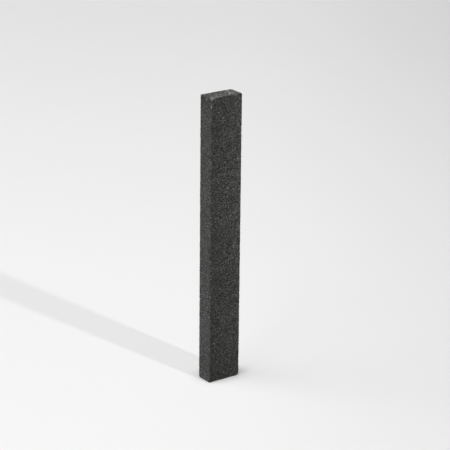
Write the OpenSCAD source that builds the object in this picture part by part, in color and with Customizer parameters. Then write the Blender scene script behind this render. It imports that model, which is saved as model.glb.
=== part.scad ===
// Hand-held sharpening whetstone: one fired stick of silicon carbide grit.
// Frame: millimetres, +Z along the stone's length. The stone stands on one
// end, with the origin at the middle of that end. X runs across the two broad
// honing faces and Y through the thickness.

/* [Stone] */
// Length of the stone, from one end face to the other
stone_length = 200; // [100:1:250]
// Width of the two broad honing faces
stone_width = 24.5; // [15:0.5:50]
// Thickness between the two broad honing faces
stone_thickness = 12.5; // [8:0.5:25]

/* [Edges] */
// Radius that the mould and the tumbling leave on every edge
edge_radius = 0.6; // [0.3:0.1:2]

/* [Hidden] */

// Segments in a full circle of an edge's round
edge_segments = 32;
SIDES = [-1, 1];

// Rectangle centred on the origin, with its four corners rounded
module rounded_rectangle(across, up) {
    square([across - 2 * edge_radius, up], center = true);
    square([across, up - 2 * edge_radius], center = true);
    for (x = SIDES, y = SIDES)
        translate([x * (across / 2 - edge_radius), y * (up / 2 - edge_radius)])
            circle(r = edge_radius, $fn = edge_segments);
}

// Block that looks like a rounded rectangle from the end, the front and the
// side, so that every edge is round
module rounded_block() {
    intersection() {
        linear_extrude(height = stone_length, center = true)
            rounded_rectangle(stone_width, stone_thickness);
        rotate([90, 0, 0])
            linear_extrude(height = stone_thickness, center = true)
                rounded_rectangle(stone_width, stone_length);
        rotate([90, 0, 90])
            linear_extrude(height = stone_width, center = true)
                rounded_rectangle(stone_thickness, stone_length);
    }
}

// The whole stone: grit and bond fired as one block, with no other piece
module whetstone() {
    color([0.20, 0.20, 0.19])
        translate([0, 0, stone_length / 2]) rounded_block();
}

whetstone();
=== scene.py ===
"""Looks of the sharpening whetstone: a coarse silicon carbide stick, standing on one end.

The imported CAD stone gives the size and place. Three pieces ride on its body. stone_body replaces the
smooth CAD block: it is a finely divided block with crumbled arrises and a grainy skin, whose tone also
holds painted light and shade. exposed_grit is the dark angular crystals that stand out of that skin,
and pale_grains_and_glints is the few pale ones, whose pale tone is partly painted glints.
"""

import math

import bpy
import numpy as np
from mathutils import Euler, Matrix, Vector, noise


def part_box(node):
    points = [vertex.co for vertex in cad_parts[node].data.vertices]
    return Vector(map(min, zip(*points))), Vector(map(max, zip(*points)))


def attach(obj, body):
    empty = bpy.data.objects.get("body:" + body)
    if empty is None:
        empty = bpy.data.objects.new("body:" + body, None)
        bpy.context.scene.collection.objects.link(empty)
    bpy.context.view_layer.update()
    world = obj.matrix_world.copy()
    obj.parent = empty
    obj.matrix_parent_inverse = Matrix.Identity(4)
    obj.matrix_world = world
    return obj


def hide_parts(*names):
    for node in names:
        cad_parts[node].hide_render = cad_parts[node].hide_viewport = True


MM = 0.001
SEED = 41

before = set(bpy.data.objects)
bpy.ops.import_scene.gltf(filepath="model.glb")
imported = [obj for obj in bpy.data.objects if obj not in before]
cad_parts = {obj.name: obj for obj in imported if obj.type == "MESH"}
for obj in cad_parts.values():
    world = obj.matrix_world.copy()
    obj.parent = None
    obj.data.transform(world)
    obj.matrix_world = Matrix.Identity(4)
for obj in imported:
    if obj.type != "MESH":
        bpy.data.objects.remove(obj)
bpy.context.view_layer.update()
low_corner, high_corner = (np.array(corner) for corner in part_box("whetstone"))
HALF = (high_corner - low_corner) / 2
MIDDLE = (high_corner + low_corner) / 2
TOP = float(high_corner[2])


# ---------------------------------------------------------------- camera, lights and floor

CAMERA_AZIMUTH = -35.65
CAMERA_ELEVATION = 19.92
CAMERA_DISTANCE = 1.2179
CAMERA_LENS_MM = 145.95
CAMERA_ROLL = 0.605
# The point that the camera aims at, away from the middle of the stone in the picture's plane
AIM_RIGHT = 3.25 * MM
AIM_UP = 9.05 * MM

# Brightness of the room above and below the horizon, and of the backdrop that the camera sees
ROOM_ABOVE = 0.035
ROOM_BELOW = 0.33
BACKDROP = (0.8, 0.8, 0.8, 1)
HORIZON_BLEND = 0.05


def around_stone(azimuth, elevation, distance):
    """The point at a distance from the middle of the stone. Azimuth 0 is in front, towards -Y."""
    turn = math.radians(azimuth)
    rise = math.radians(elevation)
    away = Vector((math.sin(turn) * math.cos(rise), -math.cos(turn) * math.cos(rise), math.sin(rise)))
    return Vector(MIDDLE) + distance * away


def put(name, data):
    """A new object in the scene that shows this data."""
    thing = bpy.data.objects.new(name, data)
    bpy.context.scene.collection.objects.link(thing)
    return thing


def aim(thing, target):
    """Turns a light so that it shines at a point."""
    thing.rotation_euler = (target - thing.location).to_track_quat("-Z", "Y").to_euler()


def make_camera():
    """A long lens that looks down at the near arris of the stone, with a slight roll."""
    camera = put("camera", bpy.data.cameras.new("camera"))
    camera.data.lens = CAMERA_LENS_MM
    camera.data.sensor_width = 36
    camera.data.clip_start = 0.05
    camera.location = around_stone(CAMERA_AZIMUTH, CAMERA_ELEVATION, CAMERA_DISTANCE)
    tilt = math.radians(90 - CAMERA_ELEVATION)
    square_on = Euler((tilt, 0, math.radians(CAMERA_AZIMUTH))).to_matrix()
    target = Vector(MIDDLE) + square_on @ Vector((AIM_RIGHT, AIM_UP, 0))
    towards = (target - camera.location).to_track_quat("-Z", "Y").to_matrix()
    roll = Matrix.Rotation(math.radians(CAMERA_ROLL), 3, "Z")
    camera.rotation_euler = (towards @ roll).to_euler()
    bpy.context.scene.camera = camera


def sun_light(name, azimuth, elevation, strength, angle):
    """Light that comes from one direction, from a disc of this angular size in degrees."""
    light = bpy.data.lights.new(name, "SUN")
    light.energy = strength
    light.angle = math.radians(angle)
    thing = put(name, light)
    thing.location = around_stone(azimuth, elevation, 1.5)
    aim(thing, Vector(MIDDLE))


def soft_box(name, azimuth, elevation, distance, width, height, power):
    """A rectangular studio light that faces the stone."""
    light = bpy.data.lights.new(name, "AREA")
    light.shape = "RECTANGLE"
    light.size = width
    light.size_y = height
    light.energy = power
    thing = put(name, light)
    thing.visible_camera = False
    thing.location = around_stone(azimuth, elevation, distance)
    aim(thing, Vector(MIDDLE))


def near_lamp(name, azimuth, elevation, distance, strength, radius):
    """A small lamp near the stone, so that shadows spread. Its light is held even at every distance."""
    light = bpy.data.lights.new(name, "POINT")
    light.energy = 4 * math.pi * strength
    light.shadow_soft_size = radius
    light.use_nodes = True
    nodes, links = light.node_tree.nodes, light.node_tree.links
    even = nodes.new("ShaderNodeLightFalloff")
    even.inputs["Strength"].default_value = 1.0
    links.new(even.outputs["Constant"], nodes["Emission"].inputs["Strength"])
    put(name, light).location = around_stone(azimuth, elevation, distance)


def make_lights():
    """Light from above, a wide soft light low at the left, and a lamp that casts the long shadow."""
    sun_light("overhead_light", azimuth=-45, elevation=89.1, strength=2.17, angle=6.5)
    soft_box(
        "left_soft_box", azimuth=-102.2, elevation=33, distance=3.0, width=4.6, height=4.1, power=83
    )
    near_lamp("low_lamp", azimuth=9.8, elevation=33, distance=1.05, strength=0.74, radius=0.02)


def make_world():
    """A dim room above and a paler one below the horizon. The camera sees a pale backdrop."""
    world = bpy.data.worlds.new("studio")
    world.use_nodes = True
    nodes, links = world.node_tree.nodes, world.node_tree.links
    nodes.clear()
    output = nodes.new("ShaderNodeOutputWorld")
    height = nodes.new("ShaderNodeSeparateXYZ")
    links.new(nodes.new("ShaderNodeTexCoord").outputs["Generated"], height.inputs[0])
    level = nodes.new("ShaderNodeMapRange")
    links.new(height.outputs["Z"], level.inputs["Value"])
    level.inputs["From Min"].default_value = -HORIZON_BLEND
    level.inputs["From Max"].default_value = HORIZON_BLEND
    level.inputs["To Min"].default_value = ROOM_BELOW
    level.inputs["To Max"].default_value = ROOM_ABOVE
    room = nodes.new("ShaderNodeBackground")
    links.new(level.outputs["Result"], room.inputs["Color"])
    backdrop = nodes.new("ShaderNodeBackground")
    backdrop.inputs["Color"].default_value = BACKDROP
    mix = nodes.new("ShaderNodeMixShader")
    path = nodes.new("ShaderNodeLightPath")
    links.new(path.outputs["Is Camera Ray"], mix.inputs["Fac"])
    links.new(room.outputs[0], mix.inputs[1])
    links.new(backdrop.outputs[0], mix.inputs[2])
    links.new(mix.outputs[0], output.inputs["Surface"])
    bpy.context.scene.world = world


# ---------------------------------------------------------------- material helpers


class Recipe:
    """A material's node tree, with short calls for the nodes that these materials use."""

    def __init__(self, name):
        self.material = bpy.data.materials.new(name)
        self.material.use_nodes = True
        self.nodes = self.material.node_tree.nodes
        self.links = self.material.node_tree.links
        self.shader = self.nodes["Principled BSDF"]
        self.place = self.nodes.new("ShaderNodeTexCoord").outputs["Object"]

    def node(self, kind, settings=None, **inputs):
        """A node of this kind, with its settings, and its inputs by name as numbers or sockets."""
        made = self.nodes.new("ShaderNode" + kind)
        for key, value in (settings or {}).items():
            setattr(made, key, value)
        for key, value in inputs.items():
            self.feed(made.inputs[key.replace("_", " ")], value)
        return made

    def feed(self, socket, value):
        """Links another node's output to a socket, or sets a number on it."""
        if isinstance(value, bpy.types.NodeSocket):
            self.links.new(value, socket)
        else:
            socket.default_value = value

    def clouds(self, size, detail=2.0, roughness=0.5):
        """Smooth noise from 0 to 1, with features of about this size in millimetres."""
        scale = 1 / (size * MM)
        made = self.node("TexNoise", Vector=self.place, Scale=scale, Detail=detail, Roughness=roughness)
        return made.outputs["Fac"]

    def cells(self, size):
        """A random number from 0 to 1 for each grain of about this size in millimetres."""
        made = self.node("TexVoronoi", Vector=self.place, Scale=1 / (size * MM), Randomness=1.0)
        split = self.node("SeparateColor", Color=made.outputs["Color"])
        return split.outputs["Red"]

    def grooves(self, size):
        """0 in the gaps between the grains that cells() gives at this size, and 1 on top of each."""
        settings = {"feature": "DISTANCE_TO_EDGE"}
        scale = 1 / (size * MM)
        made = self.node("TexVoronoi", settings, Vector=self.place, Scale=scale, Randomness=1.0)
        return self.spread(made.outputs["Distance"], 0.0, 0.14, 0.0, 1.0)

    def spread(self, value, low, high, to_low, to_high, smooth=False):
        """The value moved from one range to another and held inside it."""
        made = self.node("MapRange", {"interpolation_type": "SMOOTHSTEP" if smooth else "LINEAR"})
        for socket, number in zip(made.inputs[:5], (value, low, high, to_low, to_high)):
            self.feed(socket, number)
        return made.outputs["Result"]

    def patch(self, centre, reach):
        """1 at a place on the stone, in mm, and 0 past its reach along X, Y and Z, with a ragged rim."""
        away = self.node("VectorMath", {"operation": "SUBTRACT"})
        away.inputs[1].default_value = [c * MM for c in centre]
        self.links.new(self.place, away.inputs[0])
        scaled = self.node("VectorMath", {"operation": "DIVIDE"})
        scaled.inputs[1].default_value = [r * MM for r in reach]
        self.links.new(away.outputs[0], scaled.inputs[0])
        distance = self.node("VectorMath", {"operation": "LENGTH"})
        self.links.new(scaled.outputs[0], distance.inputs[0])
        rim = self.spread(self.clouds(0.7, detail=3.0), 0.3, 0.7, -0.5, 0.5)
        return self.spread(self.plus(distance.outputs["Value"], rim), 0.5, 1.0, 1.0, 0.0)

    def times(self, a, b):
        made = self.node("Math", {"operation": "MULTIPLY"})
        self.feed(made.inputs[0], a)
        self.feed(made.inputs[1], b)
        return made.outputs[0]

    def plus(self, a, b):
        made = self.node("Math", {"operation": "ADD"})
        self.feed(made.inputs[0], a)
        self.feed(made.inputs[1], b)
        return made.outputs[0]

    def ramp(self, value, stops):
        """Grey levels by value. Each stop is a place from 0 to 1 and a level."""
        made = self.node("ValToRGB", Fac=value)
        elements = made.color_ramp.elements
        while len(elements) < len(stops):
            elements.new(0.5)
        for element, (place, level) in zip(elements, stops):
            element.position = place
            element.color = (level, level, level, 1)
        return made.outputs["Color"]

    def tinted(self, level, tint):
        """A colour: the grey level times a tint."""
        made = self.node("VectorMath", {"operation": "SCALE"})
        made.inputs[0].default_value = tint
        self.feed(made.inputs["Scale"], level)
        return made.outputs[0]

    def bump(self, height, depth_mm, below=None):
        """A normal with this height added to it, on top of the bump below."""
        made = self.node("Bump", Strength=1.0, Distance=depth_mm * MM, Height=height)
        if below is not None:
            self.links.new(below, made.inputs["Normal"])
        return made.outputs["Normal"]


# Marks on the stone, as the centre and the reach along X, Y and Z in millimetres, and the tone added
PALE_PATCHES = [
    ((-12.2, -6.2, 197.0), (1.6, 1.6, 4.5), 0.55),
    ((-12.2, -5.8, 199.5), (2.2, 2.2, 1.0), 0.6),
    ((-7.2, -4.8, 200.0), (6.5, 1.6, 0.8), 0.8),
    ((7.0, 2.8, 200.0), (1.4, 1.8, 0.8), 1.8),
    ((4.5, -2.8, 200.0), (1.5, 1.3, 0.8), 1.6),
    ((9.5, -2.0, 200.0), (2.0, 2.0, 0.8), 0.3),
]
# The dark patches are painted shade: a chipped top corner turned from the light, pits along the back top
# arris, and the rounded front top arris turned from the light.
PAINTED_SHADE_PATCHES = [
    ((11.9, -6.0, 199.8), (1.6, 1.6, 1.6), -0.75),
    ((-3.0, 5.6, 200.0), (7.5, 1.5, 0.8), -0.6),
    ((1.0, -6.0, 200.0), (3.6, 1.0, 0.8), -0.6),
]


# Painted light and shade along the stone, as the share of the height and the level there. The broad faces
# grow darker towards their foot as painted shade, and the narrow sides are painted lighter than them.
BROAD_FACE_PAINTED_LIGHT = [
    (0.0, 0.58),
    (0.06, 0.72),
    (0.12, 0.88),
    (0.33, 0.92),
    (0.45, 1.05),
    (0.6, 1.13),
    (0.72, 1.12),
    (0.85, 1.03),
    (0.97, 1.0),
    (1.0, 0.93),
]
NARROW_SIDE_PAINTED_LIGHT = [
    (0.0, 1.11),
    (0.07, 1.14),
    (0.15, 1.31),
    (0.5, 1.27),
    (0.65, 1.12),
    (0.93, 1.08),
    (1.0, 0.82),
]

# Tone of the grains in the skin, as a random number for each grain and the level there
SKIN_GRAIN_TONE = [(0.0, 0.12), (0.35, 0.36), (0.6, 0.9), (0.85, 1.9), (1.0, 3.5)]
SKIN_GRAIN_MM = 0.44
STONE_TINT = (0.0937, 0.0943, 0.0875)
OLIVE_CAST = (0.0, 0.002, -0.009)


def grain_level(r, grooves):
    """Tone of the single grains, darker in the gaps between them as painted shade."""
    grains = r.ramp(r.cells(SKIN_GRAIN_MM), SKIN_GRAIN_TONE)
    fine = r.spread(r.clouds(0.35, detail=3.0), 0.3, 0.7, 0.75, 1.25)
    return r.times(grains, r.times(fine, r.spread(grooves, 0.0, 1.0, 0.5, 1.38)))


def uneven_firing_level(r):
    """Mottling a few millimetres across, and a drift along the stone."""
    mottling = r.spread(r.clouds(5.0, detail=4.0), 0.3, 0.7, 0.90, 1.10)
    drift = r.spread(r.clouds(60.0), 0.3, 0.7, 0.95, 1.05)
    return r.times(mottling, drift)


def painted_face_light(r, x, z):
    """Painted light and shade: lighter from one narrow side to the other, and a slow change along each kind
    of face.
    """
    # Painted light: the stone grows lighter from the -X narrow side to the +X one.
    across = r.spread(x, -12 * MM, 12 * MM, 0.84, 1.23)
    height = r.spread(z, 0.0, TOP, 0.0, 1.0)
    out_from_middle = r.node("Math", {"operation": "ABSOLUTE"}, Value=x).outputs[0]
    on_side = r.spread(out_from_middle, 11.6 * MM, 12.0 * MM, 0.0, 1.0)
    on_face = r.spread(on_side, 0.0, 1.0, 1.0, 0.0)
    # Painted light and shade along the broad faces and along the narrow sides.
    along = r.plus(
        r.times(r.ramp(height, BROAD_FACE_PAINTED_LIGHT), on_face),
        r.times(r.ramp(height, NARROW_SIDE_PAINTED_LIGHT), on_side),
    )
    return r.times(across, along)


def stone_marks(r, z):
    """Tone added by the broken end, the pale patches and the dark patches of painted shade."""
    near_top = r.spread(z, TOP - 0.7 * MM, TOP - 0.2 * MM, 0.0, 1.0)
    marks = r.times(near_top, r.spread(r.clouds(1.6), 0.35, 0.65, -0.5, 0.3))
    for centre, reach, amount in PALE_PATCHES + PAINTED_SHADE_PATCHES:
        marks = r.plus(marks, r.times(r.patch(centre, reach), amount))
    return marks


def stone_material():
    """Fired silicon carbide: grains of mixed dark tone, with an olive cast where the marks are pale, and
    painted light and shade.
    """
    r = Recipe("silicon_carbide_stone")
    x, y, z = r.node("SeparateXYZ", Vector=r.place).outputs
    grooves = r.grooves(SKIN_GRAIN_MM)
    marks = stone_marks(r, z)
    level = r.times(grain_level(r, grooves), uneven_firing_level(r))
    # The face tone is painted light and shade. The marks add real pale patches, and painted shade at the
    # dark ones.
    level = r.times(r.times(level, painted_face_light(r, x, z)), r.plus(marks, 1.0))
    olive = r.times(level, r.spread(marks, 0.0, 1.0, 0.0, 1.0))
    colour = r.node("VectorMath", {"operation": "ADD"})
    r.links.new(r.tinted(level, STONE_TINT), colour.inputs[0])
    r.links.new(r.tinted(olive, OLIVE_CAST), colour.inputs[1])
    r.feed(r.shader.inputs["Base Color"], colour.outputs[0])
    r.feed(r.shader.inputs["Roughness"], r.spread(r.cells(0.6), 0.0, 1.0, 0.45, 0.85))
    grain_bump = r.bump(r.clouds(0.4, detail=3.0, roughness=0.6), 0.28)
    grain_bump = r.bump(grooves, 0.1, below=grain_bump)
    r.feed(r.shader.inputs["Normal"], grain_bump)
    r.shader.inputs["IOR"].default_value = 1.6
    return r.material


def grit_material():
    """Exposed silicon carbide crystals: darker and glossier than the skin, each with its own tone."""
    r = Recipe("silicon_carbide_crystals")
    island = r.node("NewGeometry").outputs["Random Per Island"]
    tone = r.ramp(island, [(0.0, 0.5), (0.6, 0.9), (0.9, 1.8), (1.0, 3.5)])
    fine = r.spread(r.clouds(0.3), 0.3, 0.7, 0.8, 1.2)
    r.feed(r.shader.inputs["Base Color"], r.tinted(r.times(tone, fine), (0.032, 0.032, 0.030)))
    r.feed(r.shader.inputs["Roughness"], r.spread(r.cells(0.8), 0.0, 1.0, 0.3, 0.55))
    r.feed(r.shader.inputs["Normal"], r.bump(r.clouds(0.15), 0.02))
    r.shader.inputs["IOR"].default_value = 2.0
    return r.material


def pale_grain_and_glint_material():
    """The few pale, glassy grains, of a light grey to straw tone. Their pale tone is partly a painted
    glint.
    """
    r = Recipe("pale_grains_and_glints")
    island = r.node("NewGeometry").outputs["Random Per Island"]
    tone = r.ramp(island, [(0.0, 0.5), (0.7, 1.0), (1.0, 1.6)])
    fine = r.spread(r.clouds(0.25), 0.3, 0.7, 0.8, 1.2)
    r.feed(r.shader.inputs["Base Color"], r.tinted(r.times(tone, fine), (0.42, 0.42, 0.37)))
    r.feed(r.shader.inputs["Roughness"], r.spread(r.cells(0.5), 0.0, 1.0, 0.35, 0.55))
    r.feed(r.shader.inputs["Normal"], r.bump(r.clouds(0.15), 0.02))
    r.shader.inputs["IOR"].default_value = 1.7
    return r.material


# Half the side of the square floor in metres, and how many grid lines it has along a side
FLOOR_REACH = 3.5
FLOOR_LINES = 25


def floor_material():
    """Matte studio paper with painted shade: its tone falls off to the right, the back and the far left of
    the set.
    """
    r = Recipe("studio_paper_painted_shade")
    turn = math.radians(CAMERA_AZIMUTH)
    right = (math.cos(turn), math.sin(turn), 0)
    back = (-math.sin(turn), math.cos(turn), 0)
    to_right = r.node("VectorMath", {"operation": "DOT_PRODUCT"}, Vector=r.place).outputs["Value"]
    to_right.node.inputs[1].default_value = [a - 0.08 * b for a, b in zip(right, back)]
    to_back = r.node("VectorMath", {"operation": "DOT_PRODUCT"}, Vector=r.place).outputs["Value"]
    to_back.node.inputs[1].default_value = back
    # Painted shade: the paper darker to the right, to the back and to the far left.
    right_painted_shade = r.spread(to_right, -0.08, 0.30, 1.0, 0.875, smooth=True)
    back_painted_shade = r.spread(to_back, 0.2, 1.0, 0.99, 0.93)
    left_painted_shade = r.spread(to_right, -2.4, -0.5, 0.3, 1.0)
    paper = r.spread(r.clouds(40.0, detail=3.0), 0.3, 0.7, 0.788, 0.792)
    level = r.times(r.times(r.times(right_painted_shade, back_painted_shade), left_painted_shade), paper)
    r.feed(r.shader.inputs["Base Color"], r.tinted(level, (1.0, 1.0, 1.0)))
    r.shader.inputs["Roughness"].default_value = 1.0
    r.shader.inputs["Specular IOR Level"].default_value = 0.1
    return r.material


def mesh_object(name, vertices, faces, material):
    """An object from an array of points and an array of faces, all with the same number of corners."""
    mesh = bpy.data.meshes.new(name)
    mesh.from_pydata(vertices.tolist(), [], faces.tolist())
    mesh.validate()
    mesh.materials.append(material)
    return put(name, mesh)


def make_floor():
    """A large sheet of paper that the stone stands on. It takes the stone's shadow but doesn't light it."""
    steps = np.linspace(-FLOOR_REACH, FLOOR_REACH, FLOOR_LINES)
    x, y = np.meshgrid(steps, steps, indexing="ij")
    points = np.stack([x.ravel(), y.ravel(), np.full(x.size, low_corner[2])], axis=1)
    ids = np.arange(x.size).reshape(x.shape)
    faces = np.stack([ids[:-1, :-1], ids[1:, :-1], ids[1:, 1:], ids[:-1, 1:]], axis=-1).reshape(-1, 4)
    floor = mesh_object("studio_floor", points, faces, floor_material())
    floor.visible_diffuse = False
    floor.visible_glossy = False


# ---------------------------------------------------------------- the stone's body

# Round of the arrises before they are worn, size of the grid's cells, and how far its points wander
EDGE_ROUND = 0.35 * MM
CELL = 0.41 * MM
JITTER = 0.13 * MM

# Relief of the skin, as heights and sizes of features in millimetres. PIT_SHARE is the share of the
# points that are pits, and CRUMBLE is the extra loss near the arrises, within about EDGE_BAND of them.
WARP, WARP_SIZE = 0.05, 30.0
UNDULATION, UNDULATION_SIZE = 0.03, 6.0
GRAIN_HEIGHT, GRAIN_SIZE = 0.18, 0.8
ROUGHNESS = 0.022
PIT_SHARE = 0.012
PIT_DEPTH = (0.12, 0.3)
CRUMBLE, CRUMBLE_SIZE = 0.10, 1.1
EDGE_BAND = 1.0 * MM

# Small worn places at random: how far apart, how deep and how wide, in millimetres
WEAR_SPACING = 9
WEAR_DEPTH = (0.18, 0.42)
WEAR_RADIUS = (0.9, 3.0)


def grid_lines(half):
    """Places of the grid lines across one side of the stone: one cell in each round, even cells between."""
    inner = half - EDGE_ROUND
    between = np.linspace(-inner, inner, 1 + round(2 * inner / CELL))
    return np.concatenate([[-half], between, [half]])


def block_grid():
    """Points and four-sided faces of a sharp block, divided into small cells that share their corners."""
    lines = [grid_lines(half) for half in HALF]
    counts = [len(x) for x in lines]
    corner_keys = []
    for axis in range(3):
        u, v = (axis + 1) % 3, (axis + 2) % 3
        for end in (0, counts[axis] - 1):
            i, j = np.meshgrid(np.arange(counts[u]), np.arange(counts[v]), indexing="ij")
            index = np.zeros((3, *i.shape), int)
            index[axis], index[u], index[v] = end, i, j
            key = (index[0] * counts[1] + index[1]) * counts[2] + index[2]
            quads = np.stack([key[:-1, :-1], key[1:, :-1], key[1:, 1:], key[:-1, 1:]], axis=-1)
            quads = quads.reshape(-1, 4)
            corner_keys.append(quads if end else quads[:, ::-1])
    keys, faces = np.unique(np.concatenate(corner_keys), return_inverse=True)
    x = lines[0][keys // (counts[1] * counts[2])]
    y = lines[1][keys // counts[2] % counts[1]]
    z = lines[2][keys % counts[2]]
    return np.stack([x, y, z], axis=1), faces.reshape(-1, 4)


def rounded(points, radius):
    """Moves points of the sharp block onto the block with rounded edges. Gives the points and normals."""
    core = np.clip(points, radius - HALF, HALF - radius)
    normals = points - core
    normals /= np.linalg.norm(normals, axis=1)[:, None]
    return core + radius * normals, normals


def smooth_noise(points, size_mm, offset=0.0):
    """Noise from about -1 to 1 at each point, with features of about this size."""
    scaled = (points / (size_mm * MM) + offset).tolist()
    return np.array([noise.noise(p) for p in scaled])


def grain_relief(points, size_mm):
    """Height from 0 to 1 of packed grains of about this size: low between grains, uneven on their tops."""
    heights = []
    for p in (points / (size_mm * MM)).tolist():
        distance, centre = noise.voronoi(p)
        gap = min(1.0, (distance[1] - distance[0]) * 2.5)
        own = noise.cell(centre[0] * 7.3)
        heights.append(gap * (0.55 + 0.45 * own))
    return np.array(heights)


def edge_distance(points):
    """How far each point is from the nearest arris of the sharp block."""
    inwards = np.sort(HALF - np.abs(points), axis=1)
    return np.hypot(inwards[:, 0], inwards[:, 1])


def scoop(points, centre, radius):
    """Crumbles the stone away inside a sphere: points inside it go to its uneven surface."""
    away = points - centre
    distance = np.linalg.norm(away, axis=1)
    near = np.flatnonzero(distance < radius * 1.1)
    if not len(near):
        return
    uneven = radius * (1 + 0.012 * smooth_noise(points[near], 1.6))
    push = np.maximum(uneven, distance[near])
    points[near] = centre + away[near] * (push / distance[near])[:, None]


# Worn corners and arrises: the share of the way from the middle to the side, along X, Y and Z, then the
# depth of stone lost and the radius of the scoop in millimetres, then how much the scoop leans along Z.
# The first is the long bruise at the top of the near arris. The last two lie partway along an arris.
WORN_PLACES = [
    ((-1, -1, 1), 0.8, 22.0, 0.35),
    ((-1, 1, -1), 0.8, 4.5, 1),
    ((1, -1, -1), 1.1, 5.0, 1),
    ((-1, -1, -1), 0.3, 4.0, 1),
    ((1, -1, 1), 0.5, 2.5, 1),
    ((-1, 1, 1), 0.2, 2.5, 1),
    ((1, 1, 1), 0.15, 2.0, 1),
    ((1, 1, -1), 0.7, 4.0, 1),
    ((0.05, -1, 1), 0.35, 4.0, 1),
    ((-0.25, 1, 1), 0.2, 5.0, 1),
]


def wear_corners(points):
    """Scoops away the stone at each of the worn places."""
    for side, depth, radius, lean_along_z in WORN_PLACES:
        side = np.array(side, float)
        lean = np.trunc(side) * (1, 1, lean_along_z)
        lean /= np.linalg.norm(lean)
        surface = side * HALF - lean * depth * MM
        scoop(points, surface + lean * radius * MM, radius * MM)


def wear_arrises(points, random):
    """Small crumbled places at random along all twelve arrises."""
    for axis in range(3):
        u, v = (axis + 1) % 3, (axis + 2) % 3
        length = 2 * HALF[axis]
        for su in (-1, 1):
            for sv in (-1, 1):
                for _ in range(int(3 + length / (WEAR_SPACING * MM))):
                    side = np.zeros(3)
                    side[u], side[v] = su, sv
                    lean = side + 0.25 * random.normal(size=3) * (np.arange(3) != axis)
                    lean /= np.linalg.norm(lean)
                    place = side * HALF
                    place[axis] = random.uniform(-HALF[axis], HALF[axis])
                    depth = random.uniform(*WEAR_DEPTH) * MM
                    radius = random.uniform(*WEAR_RADIUS) * MM
                    scoop(points, place + lean * (radius - depth), radius)


def stone_skin():
    """The points, faces and outward directions of the stone's body."""
    random = np.random.default_rng(SEED)
    points, faces = block_grid()
    free = np.abs(np.abs(points) - HALF) > 1e-7
    points += random.uniform(-JITTER, JITTER, points.shape) * free
    points, normals = rounded(points, EDGE_ROUND)
    wear_corners(points)
    wear_arrises(points, random)
    near_edge = np.exp(-((edge_distance(points) / EDGE_BAND) ** 2))
    height = WARP * smooth_noise(points, WARP_SIZE)
    height += UNDULATION * smooth_noise(points, UNDULATION_SIZE, 11.0)
    height += GRAIN_HEIGHT * (grain_relief(points, GRAIN_SIZE) - 0.3)
    height += random.normal(0, ROUGHNESS, len(points))
    pitted = random.random(len(points)) < PIT_SHARE
    height -= np.where(pitted, random.uniform(*PIT_DEPTH, len(points)), 0)
    height -= near_edge * CRUMBLE * np.clip(smooth_noise(points, CRUMBLE_SIZE, 23.0), 0, 1)
    points += normals * height[:, None] * MM
    return points + MIDDLE, faces, normals


def make_body(material):
    """The stone's body. Gives its points and outward directions, for the grains to sit on."""
    points, faces, normals = stone_skin()
    points[:, 2] = np.maximum(points[:, 2], low_corner[2])
    body = mesh_object("stone_body", points, faces, material)
    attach(body, "root")
    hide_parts("whetstone")
    return points, normals


# ---------------------------------------------------------------- the exposed crystals

CRYSTALS = 9500
CRYSTAL_SHAPES = 40

# Radius of the crystals in millimetres: the middle value, the spread of its logarithm, and the limits
CRYSTAL_SIZE = 0.24
CRYSTAL_SPREAD = 0.35
CRYSTAL_LIMITS = (0.12, 0.55)


def icosahedron():
    """The twelve corners and twenty facets of a regular solid of unit radius."""
    golden = (1 + math.sqrt(5)) / 2
    corners = []
    for a in (-1, 1):
        for b in (-golden, golden):
            corners += [(0, a, b), (a, b, 0), (b, 0, a)]
    corners = np.array(corners) / math.hypot(1, golden)
    side = min(np.linalg.norm(corners[0] - c) for c in corners[1:])
    touching = np.linalg.norm(corners[:, None] - corners[None], axis=2) < side * 1.1
    faces = []
    for i in range(12):
        for j in range(i + 1, 12):
            for k in range(j + 1, 12):
                if touching[i, j] and touching[j, k] and touching[i, k]:
                    turn = np.dot(np.cross(corners[j] - corners[i], corners[k] - corners[i]), corners[i])
                    faces.append((i, j, k) if turn > 0 else (i, k, j))
    return corners, np.array(faces)


def crystal_shapes(random, count):
    """Angular grit shapes of about unit radius, and the facets that they share."""
    corners, facets = icosahedron()
    shapes = []
    for _ in range(count):
        stretch = random.uniform(0.6, 1.25, 3)
        uneven = random.uniform(0.72, 1.2, (12, 1))
        shapes.append(corners * uneven * stretch)
    return np.array(shapes), facets


def random_turns(random, count):
    """Random rotation matrices."""
    q = random.normal(size=(count, 4))
    q /= np.linalg.norm(q, axis=1)[:, None]
    w, x, y, z = q.T
    return np.stack(
        [
            np.stack([1 - 2 * (y * y + z * z), 2 * (x * y - w * z), 2 * (x * z + w * y)], axis=-1),
            np.stack([2 * (x * y + w * z), 1 - 2 * (x * x + z * z), 2 * (y * z - w * x)], axis=-1),
            np.stack([2 * (x * z - w * y), 2 * (y * z + w * x), 1 - 2 * (x * x + y * y)], axis=-1),
        ],
        axis=1,
    )


def crystals(name, random, centres, size, material):
    """One piece made of an angular crystal at each centre, of its own size, shape and turn."""
    count = len(centres)
    shapes, facets = crystal_shapes(random, CRYSTAL_SHAPES)
    turns = random_turns(random, count)
    chosen = shapes[random.integers(0, len(shapes), count)]
    points = np.einsum("nij,nvj->nvi", turns, chosen) * size[:, None, None] + centres[:, None]
    points[..., 2] = np.maximum(points[..., 2], low_corner[2])
    faces = facets[None] + 12 * np.arange(count)[:, None, None]
    piece = mesh_object(name, points.reshape(-1, 3), faces.reshape(-1, 3), material)
    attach(piece, "root")


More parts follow.
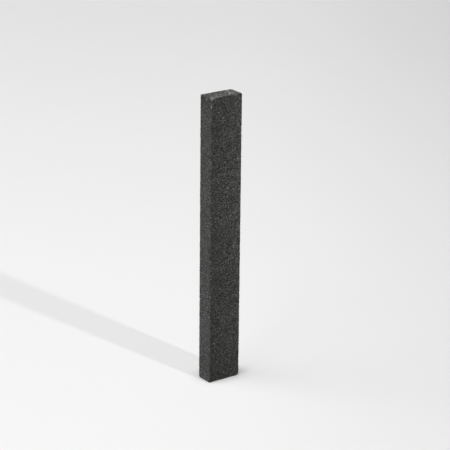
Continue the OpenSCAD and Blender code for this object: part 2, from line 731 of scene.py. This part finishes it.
def make_grit(skin, normals, material):
    """Crystals set into the skin at random places, most of them small, each standing out a little."""
    random = np.random.default_rng(SEED + 1)
    seats = random.choice(len(skin), CRYSTALS, replace=False)
    size = random.lognormal(math.log(CRYSTAL_SIZE), CRYSTAL_SPREAD, CRYSTALS)
    size = np.clip(size, *CRYSTAL_LIMITS) * MM
    proud = random.uniform(-0.75, -0.25, CRYSTALS) * size
    centres = skin[seats] + normals[seats] * proud[:, None]
    crystals("exposed_grit", random, centres, size, material)


# The pale grains with a place of their own, partly painted glints, as X, Y and Z and the radius, all in
# millimetres
PALE_GRAINS_AND_GLINTS = [
    ((-12.15, -6.05, 194.0), 0.7),
    ((6.5, -6.3, 95.5), 0.6),
    ((-3.0, -6.3, 185.5), 0.55),
    ((8.0, -6.3, 32.5), 0.5),
    ((-8.5, -6.3, 28.0), 0.5),
    ((9.0, -6.3, 156.0), 0.5),
    ((-3.0, -6.3, 33.0), 0.45),
    ((-1.0, -6.3, 155.0), 0.45),
    ((0.5, -6.3, 90.5), 0.45),
    ((4.0, -6.3, 117.5), 0.6),
    ((-12.3, -3.0, 59.0), 0.5),
    ((-12.3, -5.0, 164.0), 0.5),
    ((7.2, 3.0, 200.0), 0.6),
    ((4.7, -3.0, 200.0), 0.55),
    ((6.0, -0.5, 200.0), 0.4),
    ((-11.4, -5.2, 199.8), 0.6),
]
MORE_PALE_GRAINS_AND_GLINTS = 260

# Radius of those at random, and how deep their middles sit, in millimetres
PALE_SIZES = (0.28, 0.5)
PALE_SUNK = 0.15


def make_pale_grains_and_glints(skin, normals, material):
    """The pale grains, partly painted glints: the ones with a place of their own, and smaller ones at
    random on every face.
    """
    random = np.random.default_rng(SEED + 2)
    placed = np.array([place for place, radius in PALE_GRAINS_AND_GLINTS]) * MM
    placed_size = [radius for place, radius in PALE_GRAINS_AND_GLINTS]
    seats = random.choice(len(skin), MORE_PALE_GRAINS_AND_GLINTS, replace=False)
    centres = np.concatenate([placed, skin[seats] - normals[seats] * PALE_SUNK * MM])
    size = np.concatenate([placed_size, random.uniform(*PALE_SIZES, MORE_PALE_GRAINS_AND_GLINTS)])
    crystals("pale_grains_and_glints", random, centres, size * MM, material)


make_camera()
make_lights()
make_world()
make_floor()
skin_points, skin_normals = make_body(stone_material())
make_grit(skin_points, skin_normals, grit_material())
make_pale_grains_and_glints(skin_points, skin_normals, pale_grain_and_glint_material())

bpy.context.scene.view_settings.view_transform = "Standard"
